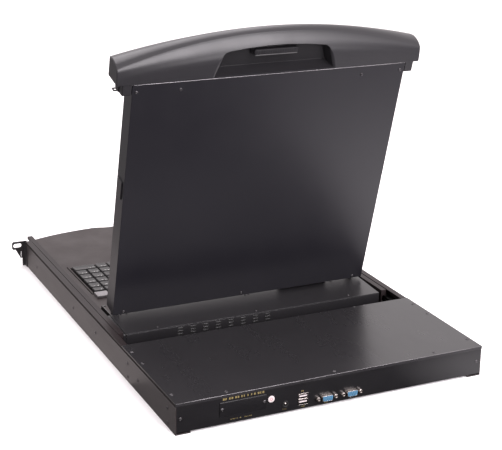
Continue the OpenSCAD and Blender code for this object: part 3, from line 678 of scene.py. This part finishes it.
def build_latch():
    """Sliding catch in the recess: a ribbed thumb bar on a plate, its lip, and the hook behind it."""
    plate_x, bar_x, lip_x, hook_x = 33, 31.5, 30.5, 8
    rib_pitch, rib_x = 3.4, 0.5
    hook_end = -36
    latch = Shape()
    latch.box((-plate_x, -393.4, -15.4), (plate_x, -383, -10.5), 1.2, 3)
    latch.prism(fillet(rect(-bar_x, -392.4, bar_x, -384.4), 2.5), -11, -4.6, upright, 1.1)
    for i in range(-8, 9):
        x = i * rib_pitch
        latch.box((x - rib_x, -391.4, -5.4), (x + rib_x, -386.4, -4.5), 0.2)
    latch.box((-hook_x, -392, hook_end), (hook_x, -387, -15.2), 0.6)
    latch.box((-hook_x, -394.4, hook_end), (hook_x, -391.2, hook_end + 2), 0.6)
    # the latch bar takes the recess's darker moulding: painted shade
    latch.done("latch_bar", "recess", "handle_latch", LID, "handle_latch", "black_plastic")
    # the lip is lighter plastic: a painted highlight along the latch's lower edge
    lip = Shape().box((-lip_x, -385.2, -6.2), (lip_x, -383.6, -4.1), 0.6, 3)
    lip.done("latch_lip", "soft", "handle_latch", LID, slot="black_plastic")


build_handle()
build_latch()


# ---------- keys ----------

def cap(shape, lo, hi, dish=0.45):
    """A key cap: draughted walls, rounded corners and a shallow dish across the top."""
    top = hi.z
    middle = 0.36 * min(hi.x - lo.x, hi.y - lo.y)

    def ring(inset, z, r):
        corners = rect(lo.x + inset, lo.y + inset, hi.x - inset, hi.y - inset)
        return [(x, y, z) for x, y in fillet(corners, r, 3)]

    shape.loft([ring(0, lo.z, 0.8), ring(0.1, lo.z + 0.5, 1.0), ring(0.65, top - 0.5, 1.4),
                ring(0.95, top - 0.12, 1.6), ring(1.5, top, 1.8), ring(2.8, top - dish * 0.5, 1.8),
                ring(middle, top - dish, 1.5)])


def legend(marks, lo, hi, words):
    """A plain stroke or two near a cap's far left corner, in place of its letter, and two more for words."""
    x, y, z = lo.x + 3.6, hi.y - 5.6, hi.z - 0.20
    wide, tall, pen, raised = 2.6, 3.2, 0.7, 0.16

    def stroke(x0, y0, x1, y1):
        marks.box((x + x0, y + y0, z), (x + x1, y + y1, z + raised), 0.05, 1)

    kind = random.randrange(3)
    stroke(0, 0, pen, tall)
    if kind != 1:
        stroke(0, tall - pen, wide, tall)
    if kind != 0:
        stroke(wide - pen, 0, wide, tall)
    if words:
        stroke(5.0, 0.4, 8.6, 1.0)
        stroke(5.0, 1.6, 7.4, 2.2)


def build_keys(node):
    """The caps of a row of keys and the marks on them. The space bar has no mark."""
    caps, marks = Shape(), Shape()
    for lo, hi in cells(node, HERE):
        cap(caps, lo, hi)
        if node != "space_bar":
            legend(marks, lo, hi, words=node == "keypad_keys")
    caps.done(node + "_caps", "key", node, HERE, node, "key_plastic", 50)
    if marks.bm.verts:
        marks.done(node + "_marks", "legend", node, HERE, slot="key_plastic")


for node in PAINT["key"]:
    build_keys(node)


# ---------- screws ----------

def screw_heads(node, spots, body, matrix):
    """Pan heads at (x, y, z, axis, radius), in place of a CAD node's screws."""
    shape = Shape()
    for x, y, z, axis, r in spots:
        shape.pan_screw(onto(x, y, z, axis), r, 0.3 * r)
    shape.done(node.replace("screws", "screw_heads"), "screw", body, matrix, node, "screw_steel")


FRONT_SCREWS_Y = 465    # the screws of the front wall are in front of this


def case_screw(lo, hi):
    """A case screw's head, facing the way that its place gives: a side, the top, the front or the rear."""
    mid = (lo + hi) / 2
    if hi.x > HALF_W + 0.5:
        return (HALF_W, mid.y, mid.z, "x", 2.4)
    if lo.x < -HALF_W - 0.5:
        return (-HALF_W, mid.y, mid.z, "-x", 2.4)
    if hi.z > COVER_Z + 0.6:
        return (mid.x, mid.y, COVER_Z, "z", 2.5)
    if lo.y < FRONT_SCREWS_Y:
        return (mid.x, hi.y, mid.z, "-y", 1.6)
    return (mid.x, hi.y - 1.1, mid.z, "y", 2.4)


screw_heads("case_screws", [case_screw(lo, hi) for lo, hi in cells("case_screws", HERE)], "chassis", HERE)
screw_heads("display_screws", [((lo.x + hi.x) / 2, (lo.y + hi.y) / 2, 0.0, "z", 2.2)
                               for lo, hi in cells("display_screws", LID)], "display", LID)


# ---------- sockets in the rear panel ----------

def video_socket(k, x):
    """A fifteen-way video socket at x: its shell and jack posts, the insert, and dark discs as painted shade
    for the contact holes.
    """
    z = 12.6
    post_x, post_r = 12.5, 3.15
    hole_x, hole_z, stagger = 2.3, 1.75, 0.6
    put = onto(x, REAR_Y, z, "y")

    def d_shape(w, h, r):
        """The outline of the shell: the top edge is longer than the bottom one."""
        return fillet([(-w / 2 + 1.3, -h / 2), (w / 2 - 1.3, -h / 2), (w / 2, h / 2), (-w / 2, h / 2)], r, 5)

    rim, outer = d_shape(17.4, 9.0, 2.3), d_shape(16.6, 8.2, 2.0)
    lip, inner = d_shape(15.5, 7.1, 1.55), d_shape(15.4, 7.0, 1.5)
    shell, insert, holes = Shape(), Shape(), Shape()
    shell.loft([[put(u, v, h) for u, v in ring] for ring, h in
                ((rim, -11), (rim, 0.0), (rim, 0.35), (outer, 0.9), (outer, 4.6), (lip, 5.6), (inner, 5.5),
                 (inner, 0.6))])
    for s in (-1, 1):
        post = onto(x + s * post_x, REAR_Y, z, "y")
        hexagon = arc(0, 0, post_r, 0, 300, 5)
        shell.prism(fillet(hexagon, 0.25, 2), -0.4, 4.3, post, 0.5)
        shell.lathe([(2.25, 4.0), (2.3, 4.7), (2.1, 5.0), (1.35, 5.0), (1.15, 4.6), (1.15, 1.0)], post)
    shell.box((x - 15.4, REAR_Y - 2.2, z - 6.2), (x + 15.4, REAR_Y - 1.2, z + 6.2), 0.3)
    shell.done(f"video_shell_{k}", "shell", "chassis", HERE, f"vga_port_{k}", "connector_shell")
    insert.prism(d_shape(15.2, 6.8, 1.45), 0.3, 5.35, put, 0.2)
    insert.done(f"video_insert_{k}", "blue", "chassis", HERE, slot="connector_shell")
    # dark discs on the insert stand for the contact holes: painted shade
    for row in (-1, 0, 1):
        for i in range(-2, 3):
            hole = onto(x - hole_x * i - stagger * row, REAR_Y, z + hole_z * row, "y")
            holes.lathe([(0.62, 5.0), (0.62, 5.38), (0.42, 5.42), (0.40, 5.1)], hole, 10)
    holes.done(f"video_hole_shade_{k}", "dark", "chassis", HERE, slot="connector_shell")


def usb_sockets(x, z):
    """Two stacked sockets: the shell with the bar between them, their tongues and contacts, and a dark lining
    inside the shell as painted shade.
    """
    put = onto(x, REAR_Y, z, "y")
    pin_pitch, pin_x = 2.33, 0.5
    usb, tongues, pins, dark = Shape(), Shape(), Shape(), Shape()

    def tube(*levels):
        """Open rounded rectangles through (half width, half height, radius, height)."""
        return [[put(u, v, h) for u, v in fillet(rect(-a, -b, a, b), r)] for a, b, r, h in levels]

    usb.loft(tube((7.2, 7.9, 0.7, -14), (7.2, 7.9, 0.7, 0.5), (6.95, 7.65, 0.6, 0.8),
                  (6.6, 7.2, 0.4, 0.75), (6.6, 7.2, 0.4, -0.6)), cap=False)
    usb.box((x - 6.6, REAR_Y - 1.5, z - 0.85), (x + 6.6, REAR_Y + 0.72, z + 0.85), 0.3)
    usb.box((x - 5, REAR_Y - 13, 7), (x + 5, REAR_Y - 8, z - 7.8), 0.3)
    # a dark lining inside the shell and behind the bar: painted shade
    dark.loft(tube((6.62, 7.22, 0.4, -0.5), (6.62, 7.22, 0.4, -10), (0.5, 0.5, 0.1, -10)), cap=False)
    dark.box((x - 6.5, REAR_Y - 10, z - 0.7), (x + 6.5, REAR_Y - 1.3, z + 0.7), 0.2)
    for low in (z - 6.6, z + 1.2):
        tongues.box((x - 5.6, REAR_Y - 9.8, low + 1.9), (x + 5.6, REAR_Y + 0.1, low + 3.6), 0.25)
        for i in range(4):
            pin = x - 3.5 + i * pin_pitch
            pins.box((pin - pin_x, REAR_Y - 8.5, low + 1.76), (pin + pin_x, REAR_Y - 0.9, low + 1.94), 0.06)
    usb.done("usb_shell", "shell", "chassis", HERE, "usb_ports", "connector_shell")
    tongues.done("usb_tongues", "white", "chassis", HERE, slot="connector_shell")
    pins.done("usb_contacts", "gold", "chassis", HERE, slot="connector_shell")
    dark.done("usb_sockets", "dark", "chassis", HERE, slot="connector_shell")


def power_jack(x, z):
    """A barrel socket: a flanged sleeve and the pin in it."""
    put = onto(x, REAR_Y, z, "y")
    jack, pin = Shape(), Shape()
    jack.lathe([(5.6, -4), (5.6, -1.25), (4.4, -1.2), (4.4, 0.9), (4.1, 1.2), (3.15, 1.2), (2.9, 0.9),
                (2.9, -9), (1.4, -9.2)], put)
    jack.lathe([(4.4, -11), (4.4, -3.8)], put)
    jack.done("power_jack", "dark", "chassis", HERE, "dc_jack", "black_plastic")
    pin.lathe([(1.6, -9.8), (1.6, 0.5), (1.2, 0.95), (0.4, 1.1)], put, 16)
    pin.done("power_pin", "shell", "chassis", HERE, slot="black_plastic")


video_socket(1, 14.0)
video_socket(2, -21.8)
usb_sockets(46.8, 16.0)
power_jack(72, 14)


# ---------- rear panel ----------

def option_plate():
    """A blanking plate with rounded corners."""
    half_w, half_h = 32, 9.5
    plate = Shape()
    plate.prism(fillet(rect(-half_w, -half_h, half_w, half_h), 1.0), 0.02, 1.0,
                onto(130, REAR_Y, 22.8, "y"), 0.3)
    plate.done("option_plate", "rear", "chassis", HERE, "option_cover", "black_steel")


def seal_disc():
    """A white film disc with a printed ring."""
    put = onto(91.5, REAR_Y, 24.3, "y")
    disc, ring = Shape(), Shape()
    disc.lathe([(4.5, 0.0), (4.5, 0.3), (4.2, 0.5), (0.5, 0.52)], put, 32)
    disc.done("seal_film", "white", "chassis", HERE, "seal_disc", "white_film")
    turns = [math.radians(12 * i) for i in range(30)]
    ring.loft([[put(r * math.cos(t), r * math.sin(t), h) for t in turns]
               for r, h in ((1.9, 0.5), (1.9, 0.56), (1.2, 0.56), (1.2, 0.5))], close=True)
    ring.done("seal_print", "ring", "chassis", HERE, slot="white_film")


def panel_marks():
    """Printed strokes in place of the labels round the sockets, and a small triangle."""
    ink = Shape()
    # each row runs from x0 down to x1 at a height, with strokes so tall and so far apart
    for x0, x1, z, size, step in ((157.5, 128, 34.7, 2.9, 3.3), (124.5, 119, 34.7, 2.9, 3.3),
                                  (115.5, 103, 34.7, 2.9, 3.3), (147, 137, 7.0, 1.1, 1.9),
                                  (128, 119, 7.0, 1.1, 1.9), (75.5, 69.5, 6.4, 1.1, 1.8),
                                  (49.5, 44.5, 26.2, 2.0, 2.0), (49.0, 44.8, 5.2, 1.2, 1.8),
                                  (16.3, 12.1, 4.2, 1.1, 1.7)):
        x = x0
        while x > x1:
            wide = step * random.uniform(0.45, 0.8)
            tall = size * random.choice((1.0, 1.0, 0.7))
            ink.box((x - wide, REAR_Y - 0.02, z), (x, REAR_Y + 0.06, z + tall), 0)
            x -= step * random.choice((1.0, 1.0, 1.0, 1.5))
    ink.prism([(0, 1.9), (-1.15, 0), (1.15, 0)], -0.02, 0.06, onto(133.5, REAR_Y, 6.9, "y"))
    ink.done("panel_marks", "print", "chassis", HERE, slot="white_film")


option_plate()
seal_disc()
panel_marks()

# ---------- louvres, hinge cover and small screws ----------

COVER_Y, COVER_END = 351, 417   # the hinge cover's front and rear edges
COVER_FALL = 3.2                # how far it slopes down between them


def slope(y, high):
    """Height on the hinge cover at y, from its height at the front edge."""
    return high - (y - COVER_Y) * COVER_FALL / (COVER_END - COVER_Y)


def build_louvres():
    """Three rows of small hoods on the tray's rear wall, each with a thin dark plate behind it as painted
    shade for its slot.
    """
    wall_y = 1000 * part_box("drawer_rear_wall")[1].y + MID
    high = 2.8              # the hood's upper edge over the slot's sill
    hood = [(0, 3.0), (0.35, 2.95), (0.65, 2.7), (0.75, 2.3), (0.65, 2.25), (0.5, 2.5), (0.3, 2.7), (0, high)]
    # (place along x, share of its size) of the hood's sections
    half = [(-4.3, 0.05), (-4.0, 0.55), (-3.6, 0.85), (-3.1, 1.0)]
    stations = half + [(-u, k) for u, k in reversed(half)]
    slot = fillet(rect(-5.0, -1.5, 5.0, 1.25), 0.6, 3)
    first, pitch = 118.7, 19.15
    louvres, slot_shades = Shape(), Shape()
    for i in range(8):
        x = first - pitch * i
        for z in (23.4, 27.8, 32.2):
            louvres.loft([[(x + u, wall_y - 0.05 + a * k, z + high + (b - high) * k) for a, b in hood]
                          for u, k in stations])
            # a thin dark plate on the wall in place of the open slot: painted shade
            slot_shades.prism(slot, -0.05, 0.06, onto(x, wall_y, z + 1.4, "y"))
    louvres.done("louvre_hoods", "coat", "drawer", HERE, slot="black_steel")
    slot_shades.done("louvre_slot_shades", "dark", "drawer", HERE, slot="black_steel")


def cover_fasteners():
    """Small screws and an eyelet on the hinge cover, and two studs on the front lip of the rear cover."""
    screws, studs, eye = Shape(), Shape(), Shape()
    near, far = 354.5, 410
    for x, y in ((183, near), (175, near), (-8.6, near), (-14, near), (-150, near),
                 (0, far), (150, far), (-150, far)):
        screws.pan_screw(onto(x, y, slope(y, 41.4), "z"), 1.5, 0.6)
    screws.done("hinge_cover_screws", "screw", "drawer", HERE, slot="screw_steel")
    for x in (-131.2, -147.1):
        studs.pan_screw(onto(x, 461.2, COVER_Z, "z"), 1.3, 0.4)
    # the studs are real, and are made in the bright edge metal so that they show as painted highlights
    studs.done("cover_lip_studs", "edge", "chassis", HERE, slot="screw_steel")
    put = onto(191.5, 357.5, 41.1, "z")
    eye.lathe([(3.0, 0.0), (3.0, 0.35), (2.6, 0.5), (2.1, 0.35), (2.0, -0.1)], put, 20)
    eye.done("hinge_cover_eyelet", "screw", "drawer", HERE, slot="screw_steel")


def cover_side_strip():
    """A narrow sloping strip beside the hinge cover, folded down at its rear end."""
    x0, x1 = 198.1, 201.9
    start, step = 351.5, 5.35
    strip = Shape()
    loops = []
    for k in range(13):
        y = start + k * step
        top = slope(y, 41.1)
        loops.append([(x0, y, top - 4.0), (x1, y, top - 4.0), (x1, y, top - 0.4), (x1 - 1.0, y, top + 0.05),
                      (x0 + 0.9, y, top), (x0, y, top - 0.5)])
    strip.loft(loops)
    strip.box((x0 - 0.2, 413.2, 20.0), (x1, 416.9, 37.2), 0.5)
    strip.done("cover_side_strip", "coat", "drawer", HERE, slot="black_steel")


build_louvres()
cover_fasteners()
cover_side_strip()


# ---------- bent sheet edges as bright metal beads, painted highlights ---

def bead(name, ends, r, body, matrix=HERE, slot="black_steel", mat="edge"):
    """Thin rounded edges, each between two points, with tapered tips and a slightly uneven width; in bright
    metal by default, as painted highlights.
    """
    shape = Shape()
    turns = [math.pi * i / 4 for i in range(8)]
    longest = 24            # between two sections
    for a, b in ends:
        a, b = Vector(a), Vector(b)
        along = (b - a).normalized()
        side = along.orthogonal().normalized()
        other = along.cross(side)
        steps = max(2, int((b - a).length / longest))
        loops = []
        for k in range(steps + 1):
            mid = a + (b - a) * (k / steps)
            tip = k in (0, steps)
            loops.append([mid + (side * math.cos(t) + other * math.sin(t)) * r
                          * (0.35 if tip else random.uniform(0.95, 1.0)) for t in turns])
        shape.loft(loops)
    shape.done(name, mat, body, matrix, slot=slot)


bead("screen_top_edge", [((197.4, -HS + 0.6, 0.0), (-197.4, -HS + 0.6, 0.0))],
     0.5, "display", LID, "cover_steel")
bead("cover_rear_edge", [((219.4, 651.0, 42.2), (-219.4, 651.0, 42.2))],
     0.36, "chassis", HERE, "cover_steel", "fold")
bead("hinge_cover_edges", [((197.7, 416.7, 38.0), (-197.7, 416.7, 38.0)),
                           ((197.7, 416.75, 37.8), (197.7, 416.75, 22.0)),
                           ((-197.6, 416.85, 37.8), (-197.6, 416.85, 20.0)),
                           ((197.75, 352, 41.1), (197.75, 416, 38.0))], 0.24, "drawer")
# the corner bead is in the bright shell nickel: a stronger painted highlight
bead("hinge_cover_corner", [((197.8, 417.0, 37.7), (197.8, 417.0, 29.0)),
                            ((197.8, 417.05, 37.9), (197.8, 417.05, 36.6))], 0.36, "drawer", mat="shell")
bead("tray_side_edges", [((199.2, 417.1, 37.9), (199.2, 417.1, 36.4)),
                         ((-203.0, 416.8, 40.6), (-203.0, 416.8, 30.0)),
                         ((203.0, 416.8, 40.6), (203.0, 416.8, 30.0))], 0.3, "drawer")


# ---------- buttons, indicator panel, touchpad buttons and bumpers ----------

def round_buttons(node, r):
    """Round caps with a soft rim and a slightly sunk face."""
    shape = Shape()
    for lo, hi in cells(node, LID):
        put = onto((lo.x + hi.x) / 2, (lo.y + hi.y) / 2, lo.z, "-z")
        shape.lathe([(r, lo.z - hi.z), (r, -0.6), (r - 0.15, -0.25), (r - 0.5, 0), (r * 0.6, -0.15),
                     (0.4, -0.2)], put, 32)
    shape.done(node + "_caps", "soft", node, LID, node, "button_plastic")


def indicators():
    """A plate with two windows, and three lamps in the narrow one."""
    lo, hi = (1000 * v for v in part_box("indicator_panel"))
    panel, film, lamps = Shape(), Shape(), Shape()
    panel.prism(fillet(rect(lo.x, lo.y + MID, hi.x, hi.y + MID), 1.5), lo.z, hi.z, upright, 0.8)
    panel.done("indicator_plate", "grey", "drawer", HERE, "indicator_panel", "grey_plastic")
    y0, y1 = 190, 206
    for x0, x1 in ((156.5, 166.5), (149.5, 153)):
        film.prism(fillet(rect(x0, y0, x1, y1), 1.0), hi.z - 0.5, hi.z - 0.06, upright)
    film.done("indicator_windows", "pale", "drawer", HERE, slot="grey_plastic")
    for i in range(3):
        put = onto(151.3, y0 + 3 + 5 * i, hi.z - 0.46, "z")
        lamps.lathe([(1.2, -0.4), (1.2, 0.0), (1.0, 0.25), (0.3, 0.4)], put, 20)
    lamps.done("indicator_lamps", "blue", "drawer", HERE, slot="grey_plastic")


def touchpad_button(node):
    shape = Shape()
    for lo, hi in cells(node, HERE):
        shape.prism(fillet(rect(lo.x, lo.y, hi.x, hi.y), 2.0), lo.z, hi.z, upright, 0.7)
    shape.done(node + "_cap", "soft", node, HERE, node, "button_plastic")


def side_bumpers():
    """Rubber faces on the bumpers at the screen's edges, which are the long pieces of the side fittings."""
    inner, outer = 197.9, 199.5
    pads = Shape()
    for lo, hi in cells("side_fittings", LID):
        if hi.y - lo.y > 20:
            x0, x1 = (inner, outer + 0.04) if lo.x > 0 else (-outer, -inner)
            pads.box((x0, lo.y + 0.1, lo.z + 0.1), (x1, hi.y - 0.1, hi.z - 0.1), 0.6, 3)
    pads.done("side_bumpers", "brown", "display", LID, slot="black_plastic")


round_buttons("osd_buttons", 4.0)
round_buttons("power_button", 5.5)
indicators()
touchpad_button("touchpad_button_left")
touchpad_button("touchpad_button_right")
side_bumpers()
